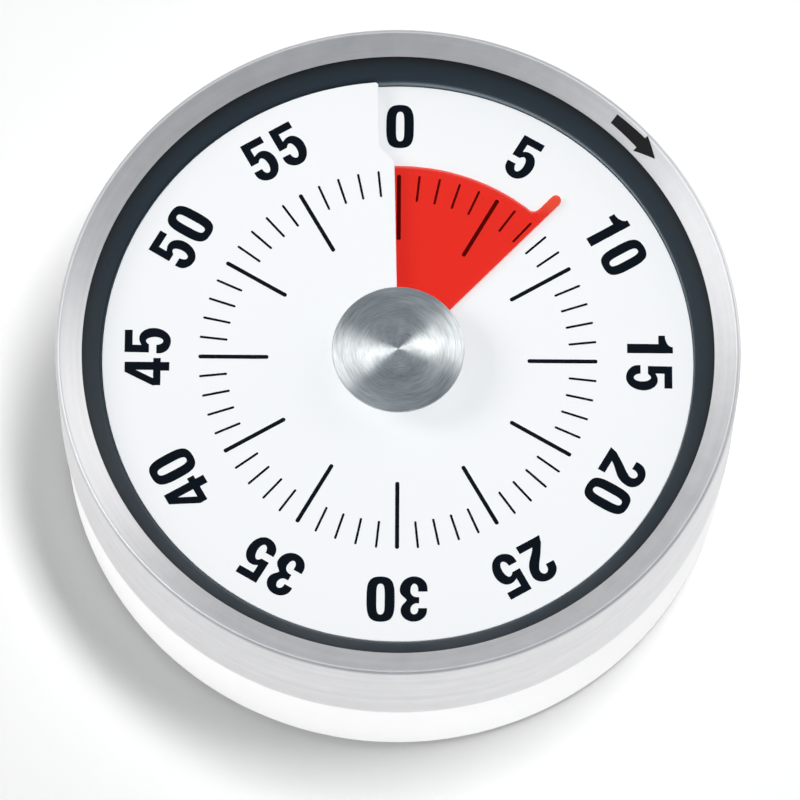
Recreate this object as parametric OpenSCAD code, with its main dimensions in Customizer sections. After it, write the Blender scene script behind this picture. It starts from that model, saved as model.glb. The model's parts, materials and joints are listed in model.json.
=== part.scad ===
// Visual countdown timer: 60 minutes, wound by a centre knob, with a red film that
// threads a helical dial. It lies on its back, +Z out of the dial, 12 o'clock at +Y.
// Dial angles run clockwise from +Y. Angles inside the movement run
// counterclockwise from +X. Lengths are millimetres.

/* [Case] */
// Outer diameter of the steel shell
case_d = 78; // [77:0.5:90]
// Height of the steel shell from its lower edge to its crest
shell_h = 14.5; // [12:0.1:17]
// Sheet thickness of the steel shell
shell_t = 0.5; // [0.3:0.05:0.6]
// Radial width of the shell's sloping face
face_w = 3; // [2.6:0.1:4]
// Drop of the face from the crest to its inner edge
face_drop = 1.1; // [0.6:0.1:1.4]
// Radius of the shell's rounded crest
crest_r = 0.8; // [0.7:0.05:1.2]
// Height of the plastic base that shows below the shell
base_h = 14.1; // [12.5:0.1:20]
// Floor thickness of the base
base_floor = 1.8; // [1.4:0.1:2.4]
// Corner radius round the bottom of the base
base_round = 1.2; // [0.6:0.1:2]
// Step of the base inward from the shell's outer face
base_step = 0.4; // [0.2:0.05:0.45]
// Wall thickness of the base inside the shell
base_wall = 1.6; // [1.2:0.1:2]

/* [Ring and dial] */
// Depth of the dial's middle height below the crest
dial_depth = 4; // [3.6:0.1:4.5]
// Radial width of the black ring between the steel and the dial
ring_w = 2.15; // [1.6:0.05:3]
// Clearance between the dial's edge and the ring's wall
dial_gap = 0.2; // [0.1:0.05:0.4]
// Thickness of the dial plate
dial_t = 0.5; // [0.3:0.05:0.6]
// Rise of the dial over one full turn
dial_rise = 1.52; // [1.4:0.02:2]
// Angle by which the slit's upper lip stops short of 0
slit_lead = 1.2; // [0.6:0.1:2]
// Extra angle of the slit beyond the film, where the tab parks
notch_angle = 3.6; // [3:0.1:6]
// Angle of dial hidden under the upper lip
lip_overlap = 8; // [6:0.5:12]
// Radius of the hole in the middle of the dial
dial_hole_r = 6; // [5.8:0.1:6.2]
// Number of stepped ribs that carry the dial
rib_count = 24; // [12:1:36]
// Width of each rib
rib_w = 1.2; // [0.8:0.1:2]
// Radial depth of the ring's ledge and ribs under the dial
ledge_w = 1.25; // [0.8:0.05:2]

/* [Film] */
// Reading of the timer, as the angle of the film's leading edge
reading = 44; // [6:1:120]
// Radius of the film disc
film_r = 23.5; // [20:0.1:24]
// Thickness of the film
film_t = 0.2; // [0.1:0.02:0.24]
// Gap between the dial's face and the film above it
film_gap = 0.3; // [0.2:0.02:0.4]
// Angle that the film covers
film_span = 359; // [350:0.5:359]
// Reach of the finger tab beyond the film's edge
tab_reach = 3.4; // [2:0.1:4]
// Width of the finger tab
tab_w = 1.3; // [1:0.1:1.8]
// Thickness of the finger tab
tab_t = 0.3; // [0.26:0.02:0.4]
// Radius of the fillet between the tab and the film
tab_fillet = 0.8; // [0.4:0.1:1.2]
// Radius of the film hub's flange
hub_flange_r = 5.4; // [5:0.1:5.5]
// Thickness of the film hub's flange
hub_flange_t = 0.4; // [0.3:0.05:0.5]
// Radius of the film hub's barrel
hub_r = 4; // [3:0.1:4.4]

/* [Knob] */
// Diameter of the knob
knob_d = 15.1; // [14:0.1:17]
// Height of the knob's face above the shell's crest
knob_proud = 0.1; // [0:0.1:1]
// Height of the knob's rim
knob_rim_h = 0.9; // [0.6:0.1:1.2]
// Radius of the groove turned in the knob's face
groove_r = 6.5; // [5.5:0.1:6.8]
// Depth of that groove
groove_depth = 0.12; // [0.05:0.01:0.2]
// Rounding of the knob's upper edge
knob_round = 0.3; // [0.1:0.05:0.4]
// Height of the knob's centre above the edge of its face
knob_dome = 0.3; // [0:0.05:0.4]
// Radius of the knob's neck
knob_neck_r = 4.6; // [4:0.1:5]
// Depth of the arbor's socket in the knob
socket_depth = 1.2; // [0.8:0.1:1.3]

/* [Movement frame] */
// Depth of the movement's top, the alarm cam, below the dial's middle height
movement_depth = 3.5; // [3.2:0.1:4]
// Radius of the front and back plates
plate_r = 24; // [23.7:0.1:24.4]
// Thickness of each plate
plate_t = 1; // [0.8:0.05:1.1]
// Height of the back plate above the gong's floor
back_plate_lift = 2.6; // [2.5:0.1:2.9]
// Radius of the circle of pillars
pillar_c = 22; // [21.9:0.1:22.2]
// Radius of a pillar
pillar_r = 1.4; // [1.2:0.1:1.6]
// Radius of a pillar's threaded ends
pillar_end_r = 0.9; // [0.7:0.05:1]
// Width across the flats of the pillar nuts
nut_flats = 3.4; // [3:0.1:3.6]
// Height of the pillar nuts
nut_h = 1; // [0.8:0.1:1.2]
// Inset of the base's screw bosses from its inner wall
boss_inset = 3.6; // [3.2:0.1:3.8]
// Radius of the screw bosses
boss_r = 2.6; // [2.2:0.1:2.7]
// Width of the front plate's ears
ear_w = 6; // [5:0.1:7]
// Radius of the movement screws
screw_r = 1.1; // [0.8:0.05:1.3]
// Length of the movement screws' shanks
screw_len = 7; // [5:0.5:9]

/* [Gear train] */
// Module of the great wheel and the second pinion
great_m = 0.4; // [0.39:0.005:0.41]
// Module of the second wheel and the third pinion
second_m = 0.34; // [0.33:0.005:0.345]
// Module of the third wheel and the escape pinion
third_m = 0.3; // [0.29:0.005:0.305]
// Thickness of the great wheel
great_t = 1; // [0.6:0.05:1.1]
// Thickness of the other wheels
wheel_t = 0.6; // [0.4:0.05:0.7]
// Length of the pinions' leaves
leaf_len = 1.4; // [1:0.1:1.6]
// Direction from the arbor to the second pinion
second_dir = 200; // [199:0.5:201]
// Direction from the second pinion to the third
third_dir = -50; // [-51:0.5:-49]
// Direction from the third pinion to the escape pinion
escape_dir = 0; // [-1:0.5:1]
// Number of spokes in each wheel
spoke_count = 4; // [3:1:5]
// Radius of the train's shafts
shaft_r = 0.6; // [0.5:0.05:0.65]
// Radius of the train's pivots
pivot_r = 0.35; // [0.3:0.05:0.45]
// Radial clearance of every pivot and sliding fit
fit = 0.05; // [0.03:0.01:0.08]
// End play of the shafts between the plates
end_play = 0.15; // [0.1:0.05:0.25]

/* [Escapement] */
// Teeth of the escape wheel
escape_teeth = 15; // [12:1:18]
// Tip radius of the escape wheel
escape_r = 6; // [5:0.1:6.2]
// Distance from the escape wheel to the pallet shaft
pallet_c = 8.6; // [8.4:0.1:8.8]
// Direction from the escape wheel to the pallet shaft
pallet_dir = 30; // [28:1:34]
// Radius of the pallet pins
pin_r = 0.25; // [0.2:0.05:0.3]
// Clearance left round the escape wheel for the swinging pins
pin_clear = 0.6; // [0.55:0.05:0.7]
// Half angle between the two pallet pins
pin_angle = 30; // [26:1:34]
// Outer radius of the balance wheel
balance_r = 7; // [6:0.1:7.2]
// Radial width of the balance wheel's rim
balance_rim = 1.2; // [0.8:0.1:1.6]

/* [Winding arbor] */
// Radius of the arbor's body
arbor_r = 2; // [1.8:0.05:2.1]
// Radius of the arbor's lower journal
arbor_low_r = 1.2; // [1:0.05:1.4]
// Radius of the arbor's upper journal
arbor_top_r = 1.8; // [1.6:0.05:1.85]
// Radius of the arbor's stem under the knob
stem_r = 1.5; // [1.4:0.05:1.55]
// Width across the flats of the stem
stem_flats = 2.4; // [2.2:0.05:2.6]
// Radius of the mainspring's innermost turn
spring_in_r = 2.6; // [2.4:0.05:2.8]
// Pitch of the mainspring's turns
spring_pitch = 1.1; // [0.9:0.05:1.15]
// Number of turns in the mainspring
spring_turns = 6; // [4:1:6]
// Thickness of the mainspring's strip
spring_t = 0.3; // [0.2:0.02:0.4]
// Tip radius of the ratchet wheel
ratchet_r = 4.5; // [4:0.1:5]
// Teeth of the ratchet wheel
ratchet_teeth = 12; // [10:1:16]
// Thickness of the ratchet wheel and the click
ratchet_t = 0.8; // [0.6:0.05:0.9]
// Radius of the alarm cam
cam_r = 8; // [7:0.1:8.5]
// Thickness of the alarm cam
cam_t = 1; // [0.6:0.1:1.1]
// Width of the notch in the alarm cam
cam_notch = 2; // [1:0.1:3]

/* [Bell] */
// Clearance between the gong and the magnets' seats under it
gong_gap = 0.8; // [0.6:0.05:1.2]
// Clearance between the gong and the base's screw bosses
gong_clear = 1.65; // [1.2:0.05:2]
// Wall thickness of the gong
gong_t = 0.8; // [0.5:0.05:0.9]
// Height of the gong
gong_h = 7.8; // [6:0.1:9]
// Radius of the gong's bend
gong_bend = 2.5; // [1.5:0.1:2.6]
// Radius of the gong's post
post_r = 3.5; // [3:0.1:4]
// Radius of the gong screw's shank
gong_screw_r = 1.3; // [1:0.05:1.5]
// Distance of the hammer's shaft from the middle
hammer_c = 19.5; // [19:0.1:20]
// Direction of the hammer's shaft
hammer_dir = 40; // [38:1:42]
// Direction of the hammer's head
head_dir = 62; // [58:1:64]
// Radius of the hammer's head
head_r = 1.4; // [1.2:0.1:1.5]
// Height of the hammer's head
head_h = 4; // [3:0.1:4.5]
// Gap between the resting hammer and the gong
strike_gap = 0.8; // [0.7:0.05:0.9]
// Clearance of the back plate round the hammer's head
head_clear = 0.5; // [0.3:0.05:0.6]
// Radius of the hammer's shaft
hammer_shaft_r = 0.8; // [0.6:0.05:1]
// Width of the hammer's arm
arm_w = 1.6; // [1.2:0.1:2]
// Wire radius of the hammer's spring
wire_r = 0.2; // [0.15:0.01:0.25]

/* [Back] */
// Radius of each magnet
magnet_r = 9; // [7:0.1:10]
// Thickness of each magnet
magnet_t = 2; // [1.5:0.1:2.1]
// Distance of each magnet from the middle
magnet_c = 16; // [15:0.1:18]
// Depth of the magnets below the back's face
magnet_inset = 0.1; // [0.05:0.05:0.2]
// Thickness of plastic over each magnet
magnet_cover = 0.8; // [0.6:0.05:0.9]
// Radius of each rubber foot
foot_r = 4; // [3:0.1:4.5]
// Height of the feet below the base
foot_h = 0.5; // [0.3:0.1:1]
// Depth of the feet's seats in the base
foot_seat = 0.8; // [0.4:0.1:1]
// Distance of each foot inward from the base's rounded edge
foot_inset = 2.4; // [1:0.1:5]
// Number of feet
foot_count = 3; // [3:1:4]

/* [Hidden] */
$fn = 64;
eps = 0.01;

// Tooth counts, which set the movement's ratios
great_teeth = 64;
wheel_teeth = 60;
pinion_leaves = 8;

// Radii of the case
case_r = case_d / 2;
face_in_r = case_r - face_w;
shell_in_r = case_r - shell_t;
base_r = case_r - base_step;
lip_r = shell_in_r - fit;
base_in_r = lip_r - base_wall;
ring_in_r = face_in_r - ring_w;
dial_r = ring_in_r - dial_gap;
ledge_r = ring_in_r - ledge_w;

// Heights of the case
base_z = foot_h;
floor_z = base_z + base_floor;
shell_z = base_z + base_h;
crest_z = shell_z + shell_h;
dial_mid = crest_z - dial_depth;
crest_pos = [case_r - crest_r, crest_z - crest_r];
to_crest = crest_pos - [face_in_r, crest_z - face_drop];
face_slope = atan2(to_crest.y, to_crest.x) + asin(crest_r / norm(to_crest));
ring_top_z = crest_z - face_drop - shell_t / cos(face_slope);
dial_low = dial_mid - dial_rise * (0.5 + lip_overlap / 360) - dial_t;
ledge_t = 1;
ledge_z = dial_low - 0.2;
lip_z = ledge_z - ledge_t;
bead_r = 0.2;

// Heights of the movement
cam_lift = 0.6;
cam_z = dial_mid - movement_depth - cam_t;
above_z = cam_z - cam_lift;
front_z = above_z - plate_t;
magnet_seat_z = base_z + magnet_inset + magnet_t + magnet_cover;
gong_z = magnet_seat_z + gong_gap;
gong_lift = gong_z - floor_z;
back_z = gong_z + gong_t + back_plate_lift;
between_z = back_z + plate_t;
plate_gap = front_z - between_z;

// Layers between the plates, from the front plate down. The mainspring has what is left.
layer_gap = 0.6;
pallet_t = 0.5;
top_gap = 0.4;
beat_gap = 0.35;
balance_z = front_z - top_gap - pallet_t;
pallet_z = balance_z - beat_gap - pallet_t;
escape_wheel_z = pallet_z - 0.25 - wheel_t;
second_wheel_z = escape_wheel_z + 0.4;
ratchet_z = escape_wheel_z - 0.2 - ratchet_t;
great_z = ratchet_z - great_t;
third_wheel_z = great_z - layer_gap - 0.2 - wheel_t;
spring_z = between_z + layer_gap;
spring_w = third_wheel_z - layer_gap - spring_z;

// Heads and slots of the screws
screw_head_h = 1.2;
slot_w = 0.6;
slot_depth = 0.6;

// Wheel and shaft positions
function polar(r, a) = [r * cos(a), r * sin(a)];
function pitch_r(teeth, m) = teeth * m / 2;
great_c = pitch_r(great_teeth + pinion_leaves, great_m);
second_c = pitch_r(wheel_teeth + pinion_leaves, second_m);
third_c = pitch_r(wheel_teeth + pinion_leaves, third_m);
second_pos = polar(great_c, second_dir);
third_pos = second_pos + polar(second_c, third_dir);
escape_pos = third_pos + polar(third_c, escape_dir);
pallet_pos = escape_pos + polar(pallet_c, pallet_dir);
hammer_pos = polar(hammer_c, hammer_dir);
pillar_dirs = [90, -5, 165, -80];
boss_dirs = [30, 150, 270];
boss_c = base_in_r - boss_inset;
magnet_pos = [[-magnet_c, 0], [magnet_c, 0]];
foot_c = base_r - base_round - foot_r - foot_inset;
foot_dirs = [for (i = [0:foot_count - 1]) 90 + 360 * i / foot_count];

// Proportions of clock teeth, in modules
wheel_tooth = 0.94;
leaf_tooth = 0.78;
addendum = 1.2;
root_clear = 0.25;

// Film, hub and knob heights at the shown reading
film_edge_z = dial_mid + dial_rise * (reading / 360 - 0.5) + film_gap;
film_end_z = film_edge_z - dial_rise * film_span / 360;
film_climb = dial_rise * (360 - reading) / 360;
hub_rim = 0.3;
hub_low_z = film_end_z - hub_flange_t - 0.1;
hub_top_z = film_edge_z + film_t + hub_rim;
knob_top_z = crest_z + knob_proud;
knob_low_z = hub_top_z + film_climb + 0.3;
gong_r = boss_c - boss_r - gong_clear;
strike_r = gong_r - gong_t;
head_c = strike_r - head_r - strike_gap;
arm_t = 1;
arm_z = back_z - 0.6 - arm_t;
coil_r = hammer_shaft_r + wire_r + 0.3;
coil_z = between_z + 0.4;
collar_rim = 1.4;
coil_turns = 4;
coil_pitch = 1.9 * wire_r;
collar_z = coil_z + coil_pitch * (coil_turns - 1) + wire_r + 0.3;
free_leg_dir = 200;

steel = [0.78, 0.78, 0.79];
dark_steel = [0.5, 0.51, 0.53];
brass = [0.8, 0.66, 0.32];
black = [0.18, 0.21, 0.24];
white = [0.95, 0.95, 0.95];
red = [0.9, 0.15, 0.13];

function dial_xy(r, a) = [r * sin(a), r * cos(a)];
function arc(c, r, from, to, n) = [for (i = [0:n]) c + polar(r, from + (to - from) * i / n)];
function smooth(u) = let (v = max(0, min(1, u))) v * v * (3 - 2 * v);

// A thin sheet that winds round the Z axis. Row j runs at radii[j] from angle
// starts[j] to ends[j], and rises by rise in a full turn from height z at angle 0.
module helical_sheet(radii, starts, ends, z, rise, t, steps) {
    rows = len(radii);
    count = rows * (steps + 1);
    function angle(i, j) = starts[j] + (ends[j] - starts[j]) * i / steps;
    function point(i, j, h) = concat(dial_xy(radii[j], angle(i, j)), z + h + rise * angle(i, j) / 360);
    function top(i, j) = i * rows + j;
    function low(i, j) = count + i * rows + j;
    points = [
        for (h = [t, 0]) for (i = [0:steps]) for (j = [0:rows - 1]) point(i, j, h)
    ];
    function quad(a, b, c, d) = [[a, b, c], [a, c, d]];
    faces = [
        for (i = [0:steps - 1]) for (j = [0:rows - 2]) each concat(
            quad(top(i, j), top(i, j + 1), top(i + 1, j + 1), top(i + 1, j)),
            quad(low(i + 1, j), low(i + 1, j + 1), low(i, j + 1), low(i, j))
        ),
        for (i = [0:steps - 1]) each concat(
            quad(top(i, 0), top(i + 1, 0), low(i + 1, 0), low(i, 0)),
            quad(top(i + 1, rows - 1), top(i, rows - 1), low(i, rows - 1), low(i + 1, rows - 1))
        ),
        for (j = [0:rows - 2]) each concat(
            quad(top(0, j + 1), top(0, j), low(0, j), low(0, j + 1)),
            quad(top(steps, j), top(steps, j + 1), low(steps, j + 1), low(steps, j))
        )
    ];
    polyhedron(points, faces);
}

// Clock teeth. A wheel's tooth is a radial flank below the pitch circle and an
// epicycloid above it, rolled by a circle of half the pinion's radius.
function roll_angle(big, small, h) =
    let (c = ((big + small) ^ 2 + small ^ 2 - (big + h) ^ 2) / (2 * (big + small) * small))
    acos(c) * small / big;
function rolled(big, small, a) = [
    (big + small) * cos(a) - small * cos(a * (big + small) / small),
    (big + small) * sin(a) - small * sin(a * (big + small) / small)
];
function wheel_profile(teeth, leaves, m) = let (
    big = pitch_r(teeth, m),
    small = pitch_r(leaves, m) / 2,
    half = 90 / teeth * wheel_tooth,
    root = big - m * (PI / 4 * leaf_tooth + root_clear),
    top = roll_angle(big, small, m * addendum),
    flank = [for (k = [0:3]) let (p = rolled(big, small, top * k / 3)) [norm(p), atan2(p.y, p.x) - half]],
    side = concat([[root, -half]], flank)
) [
    for (i = [0:teeth - 1]) each concat(
        [for (p = side) polar(p[0], p[1] + 360 * i / teeth)],
        [for (k = [len(side) - 1:-1:0]) polar(side[k][0], 360 * i / teeth - side[k][1])]
    )
];
function pinion_profile(leaves, m) = let (
    r = pitch_r(leaves, m),
    half = 90 / leaves * leaf_tooth,
    root = r - m * (addendum + root_clear),
    w = r * sin(half),
    c = r * cos(half)
) [
    for (i = [0:leaves - 1]) let (turn = 360 * i / leaves) each concat(
        [polar(root, turn - half)],
        [for (b = [-90:30:90]) let (p = [c + w * cos(b), w * sin(b)]) polar(norm(p), atan2(p.y, p.x) + turn)],
        [polar(root, turn + half)]
    )
];
function star_profile(teeth, tip, root, lean) = [
    for (i = [0:teeth - 1]) let (turn = 360 * i / teeth) each [
        polar(root, turn - 180 / teeth + lean),
        polar(tip, turn - 1),
        polar(tip, turn + 1),
        polar(root, turn + lean)
    ]
];

module at(p, z = 0) translate([p.x, p.y, z]) children();
module tube(outer, inner, h) difference() {
    cylinder(r = outer, h = h);
    translate([0, 0, -eps]) cylinder(r = inner, h = h + 2 * eps);
}

// A spoked clock wheel with a tooth pointing along dir
module clock_wheel(teeth, m, t, bore, hub, dir) {
    rim = pitch_r(teeth, m) - m * 3.6;
    arm = hub * 0.8;
    rotate(dir) difference() {
        linear_extrude(t) polygon(wheel_profile(teeth, pinion_leaves, m));
        translate([0, 0, -eps]) linear_extrude(t + 2 * eps) difference() {
            circle(rim);
            circle(hub);
            for (i = [0:spoke_count - 1]) rotate(360 * i / spoke_count)
                translate([0, -arm / 2]) square([rim + 1, arm]);
        }
        translate([0, 0, -eps]) cylinder(r = bore, h = t + 2 * eps);
    }
}

// A shaft between the plates with a leaf pinion, one gap of which points along dir
module pinion_shaft(m, leaf_z, dir) {
    translate([0, 0, back_z + fit]) cylinder(r = pivot_r, h = above_z - back_z - 2 * fit);
    translate([0, 0, between_z + end_play]) cylinder(r = shaft_r, h = plate_gap - 2 * end_play);
    translate([0, 0, leaf_z]) rotate(dir + 180 / pinion_leaves)
        linear_extrude(leaf_len) polygon(pinion_profile(pinion_leaves, m));
}

// Sheet of even thickness: a wall, a bend of radius crest_r and a sloping face
module bezel_shell() color(steel) rotate_extrude($fn = 180) {
    edge = [face_in_r, crest_z - face_drop];
    up = polar(1, 90 + face_slope);
    translate([shell_in_r, shell_z]) square([shell_t, crest_pos.y - shell_z]);
    intersection() {
        translate(crest_pos) difference() {
            circle(crest_r);
            circle(crest_r - shell_t);
        }
        polygon([
            crest_pos, crest_pos + [2, 0], crest_pos + [2, 2], crest_pos + [-1, 2], crest_pos + 2 * up
        ]);
    }
    polygon([edge, edge - shell_t * up, crest_pos + (crest_r - shell_t) * up, crest_pos + crest_r * up]);
}

// Ring section: an outer skirt inside the shell, a cone down to the dial, a bead,
// a wall past the dial's edge and a ledge that carries the ribs
module inner_ring() color(black) {
    rotate_extrude($fn = 180) difference() {
        union() {
            polygon([
                [lip_r - fit, lip_z],
                [lip_r - fit, crest_z - crest_r - shell_t],
                [crest_pos.x - shell_t, ring_top_z + (crest_pos.x - shell_t - face_in_r) * tan(face_slope) - fit],
                [face_in_r, ring_top_z - fit],
                [ring_in_r + 2 * bead_r, dial_mid - bead_r],
                [ring_in_r, dial_mid - 2 * bead_r],
                [ring_in_r, ledge_z],
                [ledge_r, ledge_z],
                [ledge_r, lip_z]
            ]);
            translate([ring_in_r + bead_r, dial_mid - bead_r]) circle(bead_r, $fn = 32);
        }
        polygon([
            [ring_in_r + 1.2, lip_z - eps], [lip_r - 1.2, lip_z - eps],
            [lip_r - 1.2, ring_top_z - 1], [face_in_r - 0.4, ring_top_z - 1.6],
            [ring_in_r + 1.2, dial_mid - 1.2]
        ]);
    }
    for (i = [0:rib_count - 1]) {
        a = 360 * i / rib_count + 360 / rib_count / 2;
        low = a > 360 - lip_overlap ? a - 360 : a;
        top = dial_mid - dial_t + dial_rise * ((low - rib_w / dial_r * 30) / 360 - 0.5);
        rotate(-a) translate([-rib_w / 2, ledge_r + 0.1, ledge_z - 0.2])
            cube([rib_w, ring_in_r - ledge_r + 0.4, top - ledge_z + 0.2]);
    }
}

module dial_plate() color(white) {
    jog_from = film_r - 0.1;
    jog_to = film_r + 1.9;
    rows = concat(
        [dial_hole_r, (dial_hole_r + jog_from) / 2],
        [for (u = [0:0.2:1]) jog_from + (jog_to - jog_from) * u],
        [dial_r]
    );
    ends = [for (r = rows) 360 - slit_lead - notch_angle * smooth((r - jog_from) / (jog_to - jog_from))];
    helical_sheet(rows, [for (r = rows) -lip_overlap], ends,
        dial_mid - dial_rise / 2 - dial_t, dial_rise, dial_t, 72);
}

module case_base() color(white) difference() {
    union() {
        rotate_extrude($fn = 180) union() {
            translate([0, base_z]) square([base_r - base_round, base_h]);
            translate([0, base_z + base_round]) square([base_r, base_h - base_round]);
            translate([base_r - base_round, base_z + base_round]) circle(base_round, $fn = 48);
            translate([0, base_z + base_round]) square([lip_r, lip_z - base_z - base_round]);
        }
    }
    difference() {
        translate([0, 0, floor_z]) cylinder(r = base_in_r, h = lip_z, $fn = 180);
        translate([0, 0, floor_z - 1]) cylinder(r = post_r, h = 1 + gong_lift);
        for (p = magnet_pos) at(p, floor_z - 1)
            cylinder(r = magnet_r + 1.2, h = 1 + magnet_seat_z - floor_z);
        for (a = boss_dirs) rotate(a) {
            translate([boss_c, 0, floor_z - 1]) cylinder(r = boss_r, h = front_z - floor_z + 1);
            translate([boss_c, -boss_r / 2, floor_z - 1])
                cube([boss_inset + 1, boss_r, front_z - floor_z + 1]);
        }
    }
    at([0, 0], floor_z - 0.6) cylinder(r = gong_screw_r, h = gong_lift + 1);
    for (a = boss_dirs) rotate(a) translate([boss_c, 0, front_z - screw_len])
        cylinder(r = screw_r, h = screw_len + 1);
    for (p = magnet_pos) at(p, base_z - 1)
        cylinder(r = magnet_r + fit, h = 1 + magnet_inset + magnet_t + fit);
    for (a = foot_dirs) at(polar(foot_c, a), base_z - 1) cylinder(r = foot_r + fit, h = 1 + foot_seat);
}

module rubber_feet() color([0.25, 0.25, 0.26]) for (a = foot_dirs)
    at(polar(foot_c, a), 0) cylinder(r = foot_r, h = foot_h + foot_seat);

module magnets() color([0.7, 0.7, 0.72]) for (p = magnet_pos)
    at(p, base_z + magnet_inset) cylinder(r = magnet_r, h = magnet_t);

module stem(r, flats, h) intersection() {
    cylinder(r = r, h = h);
    translate([-r, -flats / 2, 0]) cube([2 * r, flats, h]);
}

module knob() color([0.66, 0.68, 0.7]) difference() {
    r = knob_d / 2;
    edge_z = knob_top_z - knob_dome;
    rim_z = edge_z - knob_rim_h;
    rotate_extrude($fn = 180) difference() {
        union() {
            polygon([
                [0, knob_low_z], [knob_neck_r, knob_low_z], [knob_neck_r, knob_low_z + 0.3],
                [r - 0.4, rim_z], [r, rim_z + 0.3], [r, edge_z - knob_round],
                [r - knob_round, edge_z - knob_round], [r - knob_round, edge_z], [0, knob_top_z]
            ]);
            translate([r - knob_round, edge_z - knob_round]) circle(knob_round, $fn = 32);
        }
        translate([groove_r, knob_top_z - knob_dome * groove_r / (r - knob_round)])
            circle(groove_depth, $fn = 4);
    }
    translate([0, 0, knob_low_z - 1]) stem(stem_r + fit, stem_flats + 2 * fit, 1 + socket_depth);
}

module arbor() color(dark_steel) {
    translate([0, 0, back_z]) cylinder(r = arbor_low_r, h = plate_t + end_play + eps);
    translate([0, 0, between_z + end_play]) cylinder(r = arbor_r, h = plate_gap - 2 * end_play);
    translate([0, 0, front_z - end_play - eps])
        cylinder(r = arbor_top_r, h = plate_t + end_play + cam_lift + eps);
    translate([0, 0, cam_z - eps]) stem(stem_r, stem_flats, knob_low_z + socket_depth - cam_z - 0.1);
}

module film_hub() color(black) {
    difference() {
        translate([0, 0, hub_low_z]) cylinder(r = hub_r, h = hub_top_z - hub_low_z);
        translate([0, 0, hub_low_z - 1])
            stem(stem_r + fit, stem_flats + 2 * fit, hub_top_z - hub_low_z + 2);
    }
    flange_end = reading - film_span;
    helical_sheet([hub_r - 0.3, hub_flange_r], [flange_end, flange_end], [reading, reading],
        dial_mid - dial_rise / 2 + film_gap - hub_flange_t, dial_rise, hub_flange_t, 60);
}

module timer_film() color(red) {
    rows = [hub_r + fit, (hub_r + film_r) / 2, film_r];
    helical_sheet(rows, [for (r = rows) reading - film_span], [for (r = rows) reading],
        dial_mid - dial_rise / 2 + film_gap, dial_rise, film_t, 72);
    tab_end = film_r + tab_reach - tab_w / 2;
    foot = [-tab_w - tab_fillet, sqrt((film_r + tab_fillet) ^ 2 - (tab_w + tab_fillet) ^ 2)];
    touch = foot * film_r / norm(foot);
    root = atan2(touch.y - foot.y, touch.x - foot.x);
    rotate(-reading) translate([0, 0, film_edge_z - (tab_t - film_t) / 2]) linear_extrude(tab_t) {
        translate([-tab_w / 2, tab_end]) circle(tab_w / 2, $fn = 32);
        polygon(concat(
            [[0, film_r - 1], [0, tab_end], [-tab_w, tab_end], [-tab_w, foot.y]],
            arc(foot, tab_fillet, 0, root, 6),
            [touch * (film_r - 1) / film_r]
        ));
    }
}

module alarm_cam() color(brass) difference() {
    translate([0, 0, cam_z]) cylinder(r = cam_r, h = cam_t);
    translate([0, 0, cam_z - 1]) stem(stem_r, stem_flats, cam_t + 2);
    rotate(hammer_dir - reading) translate([cam_r - 1.2, -cam_notch / 2, cam_z - 1])
        cube([3, cam_notch, cam_t + 2]);
}

module great_wheel() color(brass) translate([0, 0, great_z])
    clock_wheel(great_teeth, great_m, great_t, arbor_r, ratchet_r + 0.5, second_dir);

module ratchet_wheel() color(dark_steel) translate([0, 0, ratchet_z]) difference() {
    linear_extrude(ratchet_t) polygon(star_profile(ratchet_teeth, ratchet_r, ratchet_r - 1, 8));
    translate([0, 0, -1]) cylinder(r = arbor_r, h = ratchet_t + 2);
}

// The click's rivet stands in the great wheel's rim and its nose rests by the ratchet
module click() color(dark_steel) {
    rim = pitch_r(great_teeth, great_m) - great_m * 2.6;
    translate([0, 0, ratchet_z]) {
        at([rim - 0.2, 0]) cylinder(r = 0.8, h = ratchet_t);
        linear_extrude(ratchet_t) polygon([
            [rim - 0.2, -0.8], [rim - 0.2, 0.8],
            [ratchet_r + 1, 1.1], [ratchet_r + 0.1, 0.7], [ratchet_r + 0.7, 0]
        ]);
    }
}

module mainspring() color([0.45, 0.5, 0.6]) {
    steps = 24;
    n = spring_turns * steps;
    outer = spring_in_r + spring_turns * spring_pitch;
    eye = pillar_r + fit;
    spine = [for (i = [0:n]) polar(spring_in_r + spring_pitch * i / steps, 90 + 360 * i / steps)];
    normals = [for (i = [0:n]) polar(spring_t / 2, 90 + 360 * i / steps)];
    translate([0, 0, spring_z]) linear_extrude(spring_w) {
        polygon(concat(
            [for (i = [0:n]) spine[i] + normals[i]],
            [for (i = [n:-1:0]) spine[i] - normals[i]]
        ));
        translate([-spring_t / 2, outer - spring_t / 2])
            square([spring_t, pillar_c - eye - outer + spring_t / 2]);
        difference() {
            translate([0, pillar_c]) circle(eye + spring_t);
            translate([0, pillar_c]) circle(eye);
        }
    }
}

module second_pinion() color(dark_steel) at(second_pos)
    pinion_shaft(great_m, great_z + (great_t - leaf_len) / 2, second_dir + 180);
module second_wheel() color(brass) at(second_pos, second_wheel_z)
    clock_wheel(wheel_teeth, second_m, wheel_t, shaft_r, 1.6, third_dir);
module third_pinion() color(dark_steel) at(third_pos)
    pinion_shaft(second_m, second_wheel_z + (wheel_t - leaf_len) / 2, third_dir + 180);
module third_wheel() color(brass) at(third_pos, third_wheel_z)
    clock_wheel(wheel_teeth, third_m, wheel_t, shaft_r, 1.6, escape_dir);
module escape_pinion() color(dark_steel) at(escape_pos)
    pinion_shaft(third_m, third_wheel_z + (wheel_t - leaf_len) / 2, escape_dir + 180);
module escape_wheel() color(brass) at(escape_pos, escape_wheel_z) difference() {
    linear_extrude(wheel_t) polygon(star_profile(escape_teeth, escape_r, escape_r - 1.6, 9));
    for (i = [0:2]) rotate(120 * i) translate([escape_r / 2 - 0.4, 0, -1]) cylinder(r = 0.9, h = wheel_t + 2);
    translate([0, 0, -1]) cylinder(r = shaft_r, h = wheel_t + 2);
}

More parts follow.
